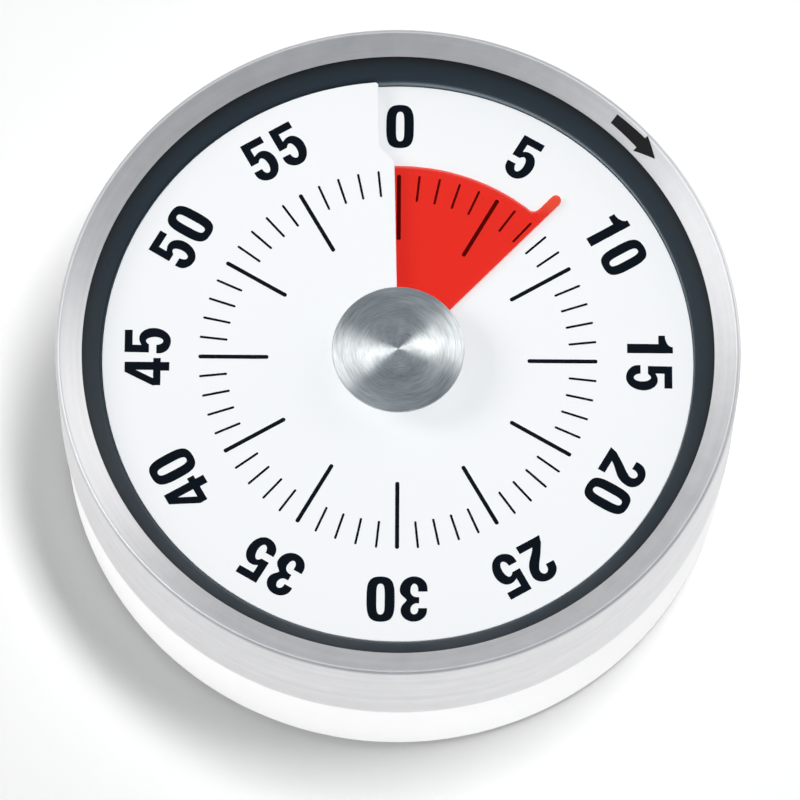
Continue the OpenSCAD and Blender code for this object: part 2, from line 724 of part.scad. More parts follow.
module pallet_arbor() color(dark_steel) at(pallet_pos) {
    translate([0, 0, back_z + fit]) cylinder(r = pivot_r, h = above_z - back_z - 2 * fit);
    translate([0, 0, between_z + end_play]) cylinder(r = shaft_r, h = plate_gap - 2 * end_play);
}

// Two pins on a plate, on both sides of the escape wheel's tip circle
module pallet() color(dark_steel) {
    orbit = escape_r + pin_r + pin_clear;
    ends = [for (s = [-1, 1]) escape_pos + polar(orbit, pallet_dir + s * pin_angle)];
    difference() {
        at(pallet_pos, pallet_z) linear_extrude(pallet_t) {
            circle(shaft_r + 0.9);
            for (p = ends) {
                d = p - pallet_pos;
                rotate(atan2(d.y, d.x)) translate([0, -0.6]) square([norm(d), 1.2]);
                translate(d) circle(0.6);
            }
        }
        at(pallet_pos, pallet_z - 1) cylinder(r = shaft_r, h = pallet_t + 2);
    }
    for (p = ends) at(p, escape_wheel_z) cylinder(r = pin_r, h = pallet_z + pallet_t - escape_wheel_z);
}

module balance_wheel() color(brass) at(pallet_pos, balance_z) {
    tube(balance_r, balance_r - balance_rim, pallet_t);
    difference() {
        union() {
            cylinder(r = shaft_r + 1, h = pallet_t);
            for (a = [0, 120, 240]) rotate(a) translate([0, -0.5, 0])
                cube([balance_r - balance_rim / 2, 1, pallet_t]);
        }
        translate([0, 0, -1]) cylinder(r = shaft_r, h = pallet_t + 2);
    }
}

// The hammer's shaft has a collar between the plates with a pin that the spring pushes
module hammer_arbor() color(dark_steel) at(hammer_pos) {
    translate([0, 0, arm_z]) cylinder(r = hammer_shaft_r, h = cam_z + cam_t - arm_z);
    translate([0, 0, collar_z]) cylinder(r = coil_r + collar_rim, h = 0.8);
    rotate(free_leg_dir) translate([collar_rim - 0.2, coil_r + wire_r + 0.5, collar_z - 1])
        cylinder(r = 0.3, h = 1 + eps);
}

module hammer() color(dark_steel) at(hammer_pos, arm_z) difference() {
    reach = polar(head_c, head_dir) - hammer_pos;
    union() {
        cylinder(r = hammer_shaft_r + 1, h = arm_t);
        rotate(atan2(reach.y, reach.x)) translate([0, -arm_w / 2, 0]) cube([norm(reach), arm_w, arm_t]);
        translate([reach.x, reach.y, 0]) cylinder(r = head_r, h = head_h);
    }
    translate([0, 0, -1]) cylinder(r = hammer_shaft_r, h = arm_t + 2);
}

module hammer_tail() color(dark_steel) at(hammer_pos, cam_z) difference() {
    tail = hammer_c - cam_r - 0.9;
    union() {
        cylinder(r = hammer_shaft_r + 1, h = cam_t);
        rotate(hammer_dir + 180) linear_extrude(cam_t) polygon([
            [0, -arm_w / 2], [tail - 1, -arm_w / 2], [tail, -0.3], [tail, 0.3], [0, arm_w / 2]
        ]);
    }
    translate([0, 0, -1]) cylinder(r = hammer_shaft_r, h = cam_t + 2);
}

// A torsion spring: close turns round the hammer's shaft, one leg held by a pillar
// and one leg at the collar's pin
module hammer_spring() color([0.6, 0.62, 0.65]) at(hammer_pos, coil_z) {
    to_pillar = polar(pillar_c, pillar_dirs[1]) - hammer_pos;
    beside = asin((pillar_r + wire_r + fit - coil_r) / norm(to_pillar));
    for (i = [0:coil_turns - 1]) translate([0, 0, coil_pitch * i])
        rotate_extrude() translate([coil_r, 0]) circle(wire_r, $fn = 16);
    rotate(atan2(to_pillar.y, to_pillar.x) + beside) translate([0, coil_r, 0])
        rotate([0, 90, 0]) cylinder(r = wire_r, h = norm(to_pillar) + 1, $fn = 16);
    rotate(free_leg_dir) translate([0, coil_r, coil_pitch * (coil_turns - 1)])
        rotate([0, 90, 0]) cylinder(r = wire_r, h = 3, $fn = 16);
}

module gong() color([0.8, 0.8, 0.82]) {
    in_bend = gong_bend - gong_t;
    c = [gong_r - gong_bend, gong_z + gong_bend];
    rotate_extrude($fn = 120) difference() {
        union() {
            translate([gong_screw_r + fit, gong_z]) square([c.x - gong_screw_r - fit, gong_t]);
            translate([gong_r - gong_t, c.y]) square([gong_t, gong_h - gong_bend]);
            intersection() {
                translate(c) circle(gong_bend);
                translate([c.x, gong_z]) square(gong_bend);
            }
        }
        translate(c) circle(in_bend);
    }
}

module gong_screw() color(dark_steel) {
    head_z = gong_z + gong_t;
    translate([0, 0, floor_z]) cylinder(r = gong_screw_r, h = head_z - floor_z + eps);
    difference() {
        translate([0, 0, head_z]) cylinder(r = gong_screw_r * 2, h = screw_head_h);
        translate([-3 * gong_screw_r, -slot_w / 2, head_z + screw_head_h - slot_depth])
            cube([6 * gong_screw_r, slot_w, slot_depth + 1]);
    }
}

module plate(z) translate([0, 0, z]) difference() {
    union() {
        cylinder(r = plate_r, h = plate_t, $fn = 120);
        children();
    }
    for (p = [second_pos, third_pos, escape_pos, pallet_pos]) at(p, -1)
        cylinder(r = pivot_r + fit, h = plate_t + 2);
    for (a = pillar_dirs) at(polar(pillar_c, a), -1) cylinder(r = pillar_end_r + fit, h = plate_t + 2);
    at(hammer_pos, -1) cylinder(r = hammer_shaft_r + fit, h = plate_t + 2);
}

module front_plate() color(brass) difference() {
    plate(front_z) for (a = boss_dirs) rotate(a) {
        translate([plate_r / 2, -ear_w / 2, 0]) cube([boss_c - plate_r / 2, ear_w, plate_t]);
        translate([boss_c, 0, 0]) cylinder(r = ear_w / 2, h = plate_t);
    }
    translate([0, 0, front_z - 1]) cylinder(r = arbor_top_r + fit, h = plate_t + 2);
    for (a = boss_dirs) rotate(a) translate([boss_c, 0, front_z - 1])
        cylinder(r = screw_r + fit, h = plate_t + 2);
}

module back_plate() color(brass) difference() {
    plate(back_z);
    translate([0, 0, back_z - 1]) cylinder(r = arbor_low_r + fit, h = plate_t + 2);
    at(polar(head_c, head_dir), back_z - 1) cylinder(r = head_r + head_clear, h = plate_t + 2);
}

module pillars() color(dark_steel) for (a = pillar_dirs) at(polar(pillar_c, a)) {
    translate([0, 0, between_z]) cylinder(r = pillar_r, h = plate_gap);
    translate([0, 0, back_z - nut_h]) cylinder(r = pillar_end_r, h = plate_gap + 2 * (plate_t + nut_h));
}

module pillar_nuts() color(steel) for (a = pillar_dirs) at(polar(pillar_c, a))
    for (z = [back_z - nut_h, above_z]) translate([0, 0, z]) difference() {
        cylinder(r = nut_flats / sqrt(3), h = nut_h, $fn = 6);
        translate([0, 0, -1]) cylinder(r = pillar_end_r, h = nut_h + 2);
    }

module movement_screws() color(steel) for (a = boss_dirs) rotate(a) translate([boss_c, 0, above_z]) {
    translate([0, 0, -plate_t - screw_len + 1]) cylinder(r = screw_r, h = screw_len + plate_t - 1 + eps);
    difference() {
        cylinder(r = 2 * screw_r, h = screw_head_h);
        translate([-3 * screw_r, -slot_w / 2, screw_head_h - slot_depth])
            cube([6 * screw_r, slot_w, slot_depth + 1]);
    }
}

bezel_shell();
inner_ring();
dial_plate();
case_base();
rubber_feet();
magnets();
knob();
arbor();
film_hub();
timer_film();
alarm_cam();
great_wheel();
ratchet_wheel();
click();
mainspring();
second_pinion();
second_wheel();
third_pinion();
third_wheel();
escape_pinion();
escape_wheel();
pallet_arbor();
pallet();
balance_wheel();
hammer_arbor();
hammer();
hammer_tail();
hammer_spring();
gong();
gong_screw();
front_plate();
back_plate();
pillars();
pillar_nuts();
movement_screws();
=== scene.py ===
"""Looks of the visual countdown timer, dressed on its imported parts."""

import json
from math import asin, atan2, cos, degrees, hypot, pi, radians, sin, sqrt, tan

import bmesh
import bpy
from mathutils import Matrix, Vector


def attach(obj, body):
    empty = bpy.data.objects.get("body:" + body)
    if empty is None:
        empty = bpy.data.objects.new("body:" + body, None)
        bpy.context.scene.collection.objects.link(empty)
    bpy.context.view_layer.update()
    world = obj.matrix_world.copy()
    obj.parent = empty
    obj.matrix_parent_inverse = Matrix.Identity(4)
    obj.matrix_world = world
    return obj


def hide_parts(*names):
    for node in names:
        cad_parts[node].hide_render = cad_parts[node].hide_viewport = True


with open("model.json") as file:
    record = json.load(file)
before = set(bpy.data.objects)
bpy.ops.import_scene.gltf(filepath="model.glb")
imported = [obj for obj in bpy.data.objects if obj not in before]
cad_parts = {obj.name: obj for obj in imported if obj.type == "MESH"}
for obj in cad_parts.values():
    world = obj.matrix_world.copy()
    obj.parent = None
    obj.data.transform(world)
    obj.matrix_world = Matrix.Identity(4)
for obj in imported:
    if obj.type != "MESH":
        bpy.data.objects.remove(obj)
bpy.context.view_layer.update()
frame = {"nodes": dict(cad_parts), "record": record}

# Lengths are millimetres until a piece is made. Dial angles are degrees, clockwise
# from 12 o'clock, which is +Y.
MM = 0.001

# Steel shell: radii, heights, and the inner edge of its face as (radius, height)
case_r = 39.0
shell_z = 14.6
crest_z = 29.2
crest_r = 0.4
sheet = 0.5
face_in = (36.0, 28.0)
crest_mid = (case_r - crest_r, crest_z - crest_r)
to_crest = (crest_mid[0] - face_in[0], crest_mid[1] - face_in[1])
face_slope = atan2(to_crest[1], to_crest[0]) + asin(crest_r / hypot(*to_crest))

# Black ring: its top under the steel, its wall beside the dial and the lip between them
ring_top = face_in[1] - sheet / cos(face_slope)
ring_wall = 33.85
ring_lip = 25.35
lip_round = 0.2
ring_foot = 22.61
ring_ledge = 23.61

# Dial: a screw of one turn, with its middle height, rise, and the slit's lap and lead
dial_mid = 25.1
dial_rise = 1.52
dial_t = 0.5
dial_hole = 6.0
dial_edge = 33.79
under_lip = 8.0
slit_lead = 1.2

# Upper lip of the slit: degrees it steps back by and leans by, and the step's radii
notch = 3.65
lip_lean = 0.75
jog_from, jog_to = 23.55, 26.1

# Print: its thickness, how deep it is sunk, and the minute marks' inner ends and widths
print_t = 0.03
print_sink = 0.01
mark_end = 22.8
long_mark = (14.8, 0.465)
short_mark = (19.6, 0.265)

# Winding arrow: the angles of its tail, its neck and its tip
arrow_tail, arrow_neck, arrow_tip = 41.12, 47.62, 51.52

# Film
reading = 44.0
film_span = 359.0
film_bore = 4.05
film_edge = 23.72
film_gap = 0.3
film_t = 0.2
tab_tip = 27.22
tab_w = 1.2
tab_t = 0.3
tab_fillet = 0.8

# Knob
knob_r = 7.55
knob_top = 28.66
knob_dome = 0.12
knob_round = 0.14
knob_low = 26.96
neck_r = 4.6
bore_r, bore_top = 1.55, 28.16


# ---------------------------------------------------------------- shapes


class Section:
    """A cross-section in the XZ plane, drawn point by point, ready to be spun."""

    def __init__(self, r, z):
        self.bm = bmesh.new()
        self.first = self.last = self.bm.verts.new((r, 0, z))

    def to(self, *points):
        """Draws straight on to each point."""
        for r, z in points:
            grown = bmesh.ops.extrude_vert_indiv(self.bm, verts=[self.last])
            self.last = grown["verts"][0]
            self.last.co = (r, 0, z)
        return self

    def arc(self, r, z, turn, steps=8):
        """Carries the last point round (r, z), anticlockwise where turn is positive."""
        swept = bmesh.ops.spin(
            self.bm, geom=[self.last], cent=(r, 0, z), axis=(0, -1, 0),
            angle=radians(turn), steps=steps,
        )
        self.last = next(v for v in swept["geom_last"] if isinstance(v, bmesh.types.BMVert))
        return self

    def close(self):
        """Joins the last point to the first."""
        self.bm.edges.new((self.last, self.first))
        return self.bm

    def end(self):
        """Leaves the section open, where both its ends lie on the axis."""
        return self.bm


def sound(bm):
    """Merges what touches and turns every face outward."""
    bmesh.ops.remove_doubles(bm, verts=bm.verts[:], dist=1e-4)
    bmesh.ops.dissolve_degenerate(bm, edges=bm.edges[:], dist=1e-5)
    bmesh.ops.recalc_face_normals(bm, faces=bm.faces[:])
    return bm


def eased(bm, width, angle=32):
    """Breaks every sharp edge by a small rounding."""
    sharp = [e for e in bm.edges if e.is_manifold and e.calc_face_angle(0) > radians(angle)]
    bmesh.ops.bevel(
        bm, geom=sharp, affect="EDGES", offset=width, segments=2,
        profile=0.5, material=-1, clamp_overlap=True,
    )
    return bm


def turned(bm, steps):
    """Spins a section once round the axis."""
    bmesh.ops.spin(
        bm, geom=bm.verts[:] + bm.edges[:], cent=(0, 0, 0), axis=(0, 0, 1),
        angle=2 * pi, steps=steps, use_merge=True,
    )
    return sound(bm)


def on_dial(x, y, angle):
    """A point of a mark drawn upright at 12 o'clock, swung round to its place."""
    a = radians(angle)
    return x * cos(a) + y * sin(a), y * cos(a) - x * sin(a)


def dial_face(angle):
    """Height of the dial's face at an angle."""
    return dial_mid + dial_rise * (angle / 360 - 0.5)


def smooth(u):
    """Eases from 0 to 1, level at both ends."""
    u = min(max(u, 0), 1)
    return u * u * (3 - 2 * u)


def wound_row(radii, start, end, z, steps):
    """A row of points wound clockwise round the axis into a sheet that rises as the dial does."""
    bm = bmesh.new()
    row = [bm.verts.new((*on_dial(0, r, start), z)) for r in radii]
    edges = [bm.edges.new(pair) for pair in zip(row, row[1:])]
    bmesh.ops.spin(
        bm, geom=row + edges, cent=(0, 0, 0), axis=(0, 0, -1),
        angle=radians(end - start), steps=steps,
        dvec=(0, 0, dial_rise * (end - start) / 360 / steps),
    )
    return bm


def thickened(bm, depth):
    """Gives a sheet its thickness, downward."""
    grown = bmesh.ops.extrude_face_region(bm, geom=bm.faces[:])["geom"]
    low = [v for v in grown if isinstance(v, bmesh.types.BMVert)]
    bmesh.ops.translate(bm, vec=(0, 0, -depth), verts=low)
    return sound(bm)


def make(bm, name, body, slot, finish, *stands_for, even=False):
    """Turns a shape into a piece in its place, with its finish and body. Its slot is not used."""
    bmesh.ops.scale(bm, vec=(MM, MM, MM), verts=bm.verts[:])
    mesh = bpy.data.meshes.new(name)
    bm.to_mesh(mesh)
    bm.free()
    mesh.shade_smooth()
    mesh.set_sharp_from_angle(angle=radians(34))
    mesh.materials.append(finish)
    piece = bpy.data.objects.new(name, mesh)
    bpy.context.scene.collection.objects.link(piece)
    if even:
        piece.modifiers.new("even shading", "WEIGHTED_NORMAL").keep_sharp = True
    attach(piece, body)
    if stands_for:
        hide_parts(*stands_for)
    return piece


# ---------------------------------------------------------------- finishes


class Value:
    """A number, colour or vector inside a finish. Sums on it add their nodes."""

    def __init__(self, finish, socket):
        self.finish, self.socket = finish, socket

    def sum(self, operation, a, b):
        return self.finish.add("ShaderNodeMath", {"operation": operation}, {0: a, 1: b})

    def __add__(self, other):
        return self.sum("ADD", self, other)

    def __sub__(self, other):
        return self.sum("SUBTRACT", self, other)

    def __rsub__(self, other):
        return self.sum("SUBTRACT", other, self)

    def __mul__(self, other):
        return self.sum("MULTIPLY", self, other)

    __radd__, __rmul__ = __add__, __mul__

    def clamped(self):
        return self.finish.add("ShaderNodeClamp", {}, {"Value": self})

    def ramp(self, *stops):
        """Reads a colour or a grey off a row of (place, colour) stops."""
        result = self.finish.add("ShaderNodeValToRGB", {}, {"Fac": self})
        row = result.socket.node.color_ramp.elements
        while len(row) < len(stops):
            row.new(1)
        for stop, (place, colour) in zip(row, stops):
            stop.position = place
            stop.color = (*(colour if isinstance(colour, tuple) else (colour,) * 3), 1)
        return result


class Finish:
    """The nodes of one material or world, written as sums."""

    def __init__(self, holder):
        self.holder = holder
        holder.use_nodes = True
        self.tree = holder.node_tree
        self.tree.nodes.clear()

    def add(self, kind, settings, sockets, outlet=0):
        """Adds a node with its settings and inputs, and hands on one of its outputs."""
        node = self.tree.nodes.new(kind)
        for name, setting in settings.items():
            setattr(node, name, setting)
        for name, value in sockets.items():
            socket = node.inputs[name]
            if isinstance(value, Value):
                self.tree.links.new(value.socket, socket)
            else:
                socket.default_value = (*value, 1) if socket.type == "RGBA" else value
        return Value(self, node.outputs[outlet])

    def place(self):
        """Where a point is on the object, in metres."""
        return self.add("ShaderNodeTexCoord", {}, {}, "Object")

    def parts(self, vector):
        return [
            self.add("ShaderNodeSeparateXYZ", {}, {0: vector}, axis) for axis in ("X", "Y", "Z")
        ]

    def joined(self, x, y, z):
        return self.add("ShaderNodeCombineXYZ", {}, {"X": x, "Y": y, "Z": z})

    def stretched(self, vector, scale):
        return self.add("ShaderNodeMapping", {}, {"Vector": vector, "Scale": scale})

    def noise(self, vector, scale, detail=3.0, rough=0.55, **fourth):
        """Soft noise. A fourth value, W, winds it on."""
        settings = {"noise_dimensions": "4D" if fourth else "3D"}
        sockets = {"Vector": vector, "Scale": scale, "Detail": detail, "Roughness": rough}
        return self.add("ShaderNodeTexNoise", settings, {**sockets, **fourth}, "Fac")

    def blend(self, share, a, b):
        """Mixes two colours."""
        return self.add("ShaderNodeMix", {"data_type": "RGBA"}, {0: share, 6: a, 7: b}, 2)

    def around(self):
        """Distance from the axis, the direction round it as a vector, and the height."""
        x, y, z = self.parts(self.place())
        flat = self.joined(x, y, 0.0)
        far = self.add("ShaderNodeVectorMath", {"operation": "LENGTH"}, {0: flat}, "Value")
        way = self.add("ShaderNodeVectorMath", {"operation": "NORMALIZE"}, {0: flat})
        return far, way, z

    def share(self, length, start, run):
        """How far a length in metres is along a run in millimetres, from 0 to 1."""
        return ((length - start * MM) * (1 / run / MM)).clamped()

    def bump(self, height, depth):
        return self.add("ShaderNodeBump", {}, {"Height": height, "Distance": depth})

    def surface(self, shader):
        out = self.tree.nodes.new("ShaderNodeOutputMaterial")
        self.tree.links.new(shader.socket, out.inputs["Surface"])
        return self.holder

    def principled(self, **sockets):
        named = {
            name.replace("_", " ").title().replace("Ior", "IOR"): value
            for name, value in sockets.items()
        }
        return self.add("ShaderNodeBsdfPrincipled", {}, named)


def finish(name):
    return Finish(bpy.data.materials.new(name))


def moulded(name, colour, shade, rough, grain, depth, gloss=0.5):
    """Moulded plastic: a faint change of tone, and the fine texture of its mould."""
    look = finish(name)
    place = look.place()
    tone = look.noise(place, 60.0, 2.0)
    fine = look.noise(place, grain, 3.0, 0.6)
    return look.surface(look.principled(
        base_color=look.blend(tone, colour, shade),
        roughness=rough + 0.1 * (fine - 0.5) + 0.05 * (tone - 0.5),
        specular_ior_level=gloss,
        normal=look.bump(fine, depth),
    ))


def brushed(name, colour, dull, rough, spread, lines, depth, cloud):
    """Metal with fine lines that run round the axis."""
    look = finish(name)
    far, way, z = look.around()
    along = far + z * 0.83
    fine = look.noise(way, 3.0, 4.0, 0.65, W=along * lines)
    broad = look.noise(way, 1.3, 2.0, 0.5, W=along * (lines * 0.09))
    spots = look.noise(look.place(), 420.0, 3.0, 0.6)
    streaks = (0.6 * fine + 0.4 * broad).ramp((0.36, 0.0), (0.64, 1.0))
    clouds = spots.ramp((0.3, 0.0), (0.7, 1.0))
    return look.surface(look.principled(
        base_color=look.blend(streaks * (1 - cloud) + clouds * cloud, dull, colour),
        metallic=1.0,
        roughness=rough + 0.08 * (fine - 0.5) + 0.10 * (spots - 0.5),
        anisotropic=spread,
        anisotropic_rotation=0.25,
        normal=look.bump(fine, depth),
    ))


def rolled_metal(name, colour, dull, rough):
    """Sheet or bar metal inside the movement, with a soft grain and faint tarnish."""
    look = finish(name)
    place = look.place()
    grain = look.noise(look.stretched(place, (1.0, 9.0, 1.0)), 900.0, 4.0, 0.6)
    cloud = look.noise(place, 160.0, 3.0, 0.6)
    return look.surface(look.principled(
        base_color=look.blend(cloud.ramp((0.35, 0.0), (0.65, 1.0)), dull, colour),
        metallic=1.0,
        roughness=rough + 0.2 * (grain - 0.5) + 0.1 * (cloud - 0.5),
        normal=look.bump(grain, 2e-6),
    ))


def tinted_film(name):
    """Clear red film: what lies under it shows through. Its tab is denser and warmer."""
    look = finish(name)
    tab = look.share(look.around()[0], film_edge - 0.6, 2.4)
    wave = look.noise(look.place(), 90.0, 2.0)
    red = look.blend(wave, (0.88, 0.030, 0.022), (0.92, 0.040, 0.028))
    face = look.principled(
        base_color=look.blend(tab, red, (0.84, 0.095, 0.050)),
        roughness=0.16 + 0.06 * wave,
        specular_ior_level=0.5,
        normal=look.bump(wave, 4e-6),
    )
    clear = look.add("ShaderNodeBsdfTransparent", {}, {"Color": (0.965, 0.43, 0.385)})
    share = 0.035 + 0.55 * tab
    return look.surface(look.add("ShaderNodeMixShader", {}, {0: share, 1: clear, 2: face}))


def ring_plastic(name):
    """Black plastic, dull on the cone, polished on the wall beside the dial, with painted shade and
    highlight.
    """
    look = finish(name)
    far = look.around()[0]
    cone = look.share(far, ring_wall + 0.15, 0.3)
    fine = look.noise(look.place(), 4200.0, 3.0, 0.6)
    # Painted shade and highlight: the colour darkens towards the steel's edge, as shade under it, and
    # lightens at the wall beside the dial, as a highlight along the lip.
    tone = ((face_in[0] * MM - far) * (1 / (face_in[0] - ring_wall) / MM)).ramp(
        (0.0, (0.002, 0.004, 0.006)), (0.3, (0.007, 0.014, 0.020)),
        (0.9, (0.011, 0.020, 0.029)), (0.95, (0.03, 0.045, 0.055)), (1.0, (0.09, 0.125, 0.145)),
    )
    return look.surface(look.principled(
        base_color=tone,
        roughness=0.16 + 0.32 * cone + 0.06 * (fine - 0.5),
        specular_ior_level=0.4,
        normal=look.bump(fine, 5e-6),
    ))


base_white = moulded(
    "base white plastic", (0.89, 0.89, 0.885), (0.865, 0.865, 0.86), 0.40, 5200.0, 4e-6
)
dial_white = moulded(
    "dial white plastic", (0.885, 0.905, 0.92), (0.875, 0.895, 0.912), 0.42, 6500.0, 2e-6
)
ring_black = ring_plastic("ring black plastic")
print_black = moulded(
    "printed black", (0.003, 0.0055, 0.0095), (0.0025, 0.0045, 0.008), 0.6, 7000.0, 1e-6, 0.08
)
arrow_black = moulded(
    "arrow black", (0.013, 0.013, 0.014), (0.009, 0.009, 0.010), 0.6, 7000.0, 1e-6, 0.1
)
foot_rubber = moulded(
    "foot rubber", (0.045, 0.045, 0.048), (0.03, 0.03, 0.033), 0.78, 2600.0, 2e-5, 0.3
)
hub_black = moulded(
    "hub black plastic", (0.02, 0.021, 0.023), (0.015, 0.016, 0.018), 0.5, 4200.0, 6e-6
)
film_red = tinted_film("film red")
shell_steel = brushed(
    "shell brushed steel", (0.83, 0.83, 0.84), (0.67, 0.67, 0.68), 0.39, 0.4, 9000.0, 1.2e-6, 0.3
)
knob_steel = brushed(
    "knob turned steel", (0.84, 0.90, 0.93), (0.33, 0.37, 0.39), 0.34, 1.0, 4600.0, 2.2e-6, 0.12
)
magnet_metal = rolled_metal("magnet nickel", (0.62, 0.60, 0.56), (0.50, 0.49, 0.46), 0.22)
brass = rolled_metal("brass", (0.72, 0.50, 0.19), (0.58, 0.38, 0.14), 0.28)
dark_steel = rolled_metal("dark steel", (0.32, 0.32, 0.34), (0.22, 0.22, 0.24), 0.32)
spring_steel = rolled_metal("spring steel", (0.30, 0.34, 0.42), (0.20, 0.23, 0.30), 0.24)
gong_steel = rolled_metal("gong steel", (0.60, 0.59, 0.57), (0.48, 0.47, 0.46), 0.26)

# The finish of each slot of the record
node_finishes = {
    "base_white": base_white,
    "shell_steel": shell_steel,
    "ring_black": ring_black,
    "dial_white": dial_white,
    "foot_rubber": foot_rubber,
    "magnet": magnet_metal,
    "spring_steel": spring_steel,
    "gong_steel": gong_steel,
    "dark_steel": dark_steel,
    "brass": brass,
    "knob_steel": knob_steel,
    "film_red": film_red,
}


# ---------------------------------------------------------------- case


def steel_shell():
    """Wall, rounded crest and sloping face, all from one sheet."""
    turn = 90 + degrees(face_slope)
    lean_r, lean_z = sin(face_slope), cos(face_slope)
    inner_bend = 0.1
    section = Section(case_r, shell_z)
    section.to((case_r, crest_mid[1])).arc(*crest_mid, turn, 12)
    section.to(face_in, (face_in[0] + sheet * lean_r, face_in[1] - sheet * lean_z))
    section.to((crest_mid[0] - inner_bend * lean_r, crest_mid[1] + inner_bend * lean_z))
    section.arc(*crest_mid, -turn).to((case_r - sheet, shell_z))
    bm = eased(turned(section.close(), 288), 0.1)
    return make(bm, "steel_shell", "case", "shell_steel", shell_steel, "bezel_shell", even=True)


def black_ring():
    """Cone and wall round the dial, hollow behind, with ribs that carry the dial."""
    skirt_r, skirt_top, shoulder_r = 38.4, 27.8, 37.7
    under_steel = ring_top - 0.05
    shoulder = under_steel + (shoulder_r - face_in[0]) * tan(face_slope)
    section = Section(skirt_r, ring_foot)
    section.to((skirt_r, skirt_top), (shoulder_r, shoulder), (face_in[0], under_steel))

    lip_mid = (ring_wall + lip_round, ring_lip - lip_round)
    lean = atan2(ring_top - ring_lip, face_in[0] - ring_wall)
    section.to((lip_mid[0] - lip_round * sin(lean), lip_mid[1] + lip_round * cos(lean)))
    section.arc(*lip_mid, 90 - degrees(lean))

    ledge_in, hollow_in, hollow_out, hollow_low = 32.6, 35.05, 37.25, 23.9
    section.to(
        (ring_wall, ring_ledge), (ledge_in, ring_ledge), (ledge_in, ring_foot),
        (hollow_in, ring_foot), (hollow_in, hollow_low), (35.6, ring_top - 1.6),
        (hollow_out, ring_top - 1), (hollow_out, ring_foot),
    )
    bm = eased(turned(section.close(), 288), 0.08)

    ribs, rib_w, rib_depth = 24, 1.2, 1.65
    rib_low, rib_in = ring_ledge - 0.2, ledge_in + 0.1
    for i in range(ribs):
        angle = 360 * (i + 0.5) / ribs
        # Where the dial laps itself, the rib carries the lower layer
        carried = angle - 360 if angle > 360 - under_lip else angle
        rib_top = dial_face(carried - 30 * rib_w / dial_edge) - dial_t
        swing = Matrix.Rotation(-radians(angle), 4, "Z")
        mid = Matrix.Translation((0, rib_in + rib_depth / 2, (rib_low + rib_top) / 2))
        size = Matrix.Diagonal((rib_w, rib_depth, rib_top - rib_low, 1))
        bmesh.ops.create_cube(bm, size=1, matrix=swing @ mid @ size)
    return make(bm, "black_ring", "case", "ring_black", ring_black, "inner_ring", even=True)


# ---------------------------------------------------------------- dial and film


def white_dial():
    """One turn of a screw with a slit at 0, whose upper lip steps back round the 0."""
    start, end = -under_lip, 360 - slit_lead
    jog_w, corner, run = jog_to - jog_from, 0.3, 14
    jog = [jog_from + jog_w * i / 12 for i in range(13)]
    edge = [dial_edge - corner, dial_edge - 0.12, dial_edge]
    bm = wound_row([dial_hole, 12.0, 18.0, *jog, 28.0, 31.0, *edge], start, end, dial_face(start), 360)
    for v in bm.verts:
        far = hypot(v.co.x, v.co.y)
        turn = (v.co.z - dial_face(0)) / dial_rise * 360
        back = notch * smooth((far - jog_from) / jog_w)
        back -= lip_lean * max(far - jog_to, 0) / (dial_edge - jog_to)
        back += 5 * max(far - dial_edge + corner, 0) ** 2
        back *= smooth((turn - end + run) / run)
        v.co = (*on_dial(0, far, turn - back), dial_face(turn - back))
    bm = eased(thickened(bm, dial_t), 0.09, 50)
    return make(bm, "white_dial", "case", "dial_white", dial_white, "dial_plate")


def tab_rows():
    """Rows across the finger tab, from its flared root to its round tip, as (y, left, right)."""
    half = tab_w / 2
    rows = []
    for out in (0.06, 0.16, 0.32, 0.55, 0.8, 1.3, 2.0, tab_tip - film_edge - half):
        flare = tab_fillet - sqrt(max(tab_fillet**2 - (tab_fillet - min(out, tab_fillet)) ** 2, 0))
        rows.append((film_edge + out, -tab_w - flare * 0.9, 0.0))
    for turn in (15, 30, 45, 60, 74, 86):
        side = half * cos(radians(turn))
        rows.append((tab_tip - half + half * sin(radians(turn)), -half - side, -half + side))
    return rows


def red_film():
    """The film, wound like the dial and threaded through its slit, with its finger tab."""
    start, end = reading - film_span, reading
    face = film_gap + film_t
    top = dial_face(end) + face
    radii = [film_bore, 14.0, film_edge - 0.6, film_edge]
    bm = wound_row(radii, start, end, dial_face(start) + face, 359)

    def across(v):
        return on_dial(v.co.x, v.co.y, -end)[0]

    def outward(v):
        return on_dial(v.co.x, v.co.y, -end)[1]

    root = 2.06
    row = sorted(
        (v for v in bm.verts if abs(hypot(v.co.x, v.co.y) - film_edge) < 1e-3
         and outward(v) > 0 and v.co.z > top - dial_rise / 2 and abs(across(v)) < root),
        key=across,
    )
    spread = len(row) - 1
    tab = set()
    for y, left, right in tab_rows():
        edges = [bm.edges.get(pair) for pair in zip(row, row[1:])]
        grown = bmesh.ops.extrude_edge_only(bm, edges=edges)["geom"]
        row = sorted((v for v in grown if isinstance(v, bmesh.types.BMVert)), key=across)
        for i, v in enumerate(row):
            x = left + (right - left) * i / spread
            drop = film_edge - sqrt(film_edge**2 - x * x)
            v.co = (*on_dial(x, y - drop * max(0, 1 - (y - film_edge)), end), top)
        if y > film_edge + 0.4:
            tab |= {(round(v.co.x, 3), round(v.co.y, 3)) for v in row}
    bm = thickened(bm, film_t)
    for v in bm.verts:
        if (round(v.co.x, 3), round(v.co.y, 3)) in tab and v.co.z > top - 0.5:
            swell = (tab_t - film_t) / 2 * smooth((outward(v) - film_edge - 0.4) / 1.6)
            v.co.z += swell if v.co.z > top - film_t / 2 else -swell
    bm = eased(bm, 0.04, 50)
    return make(bm, "red_film", "film", "film_red", film_red, "timer_film")


# ---------------------------------------------------------------- printed marks

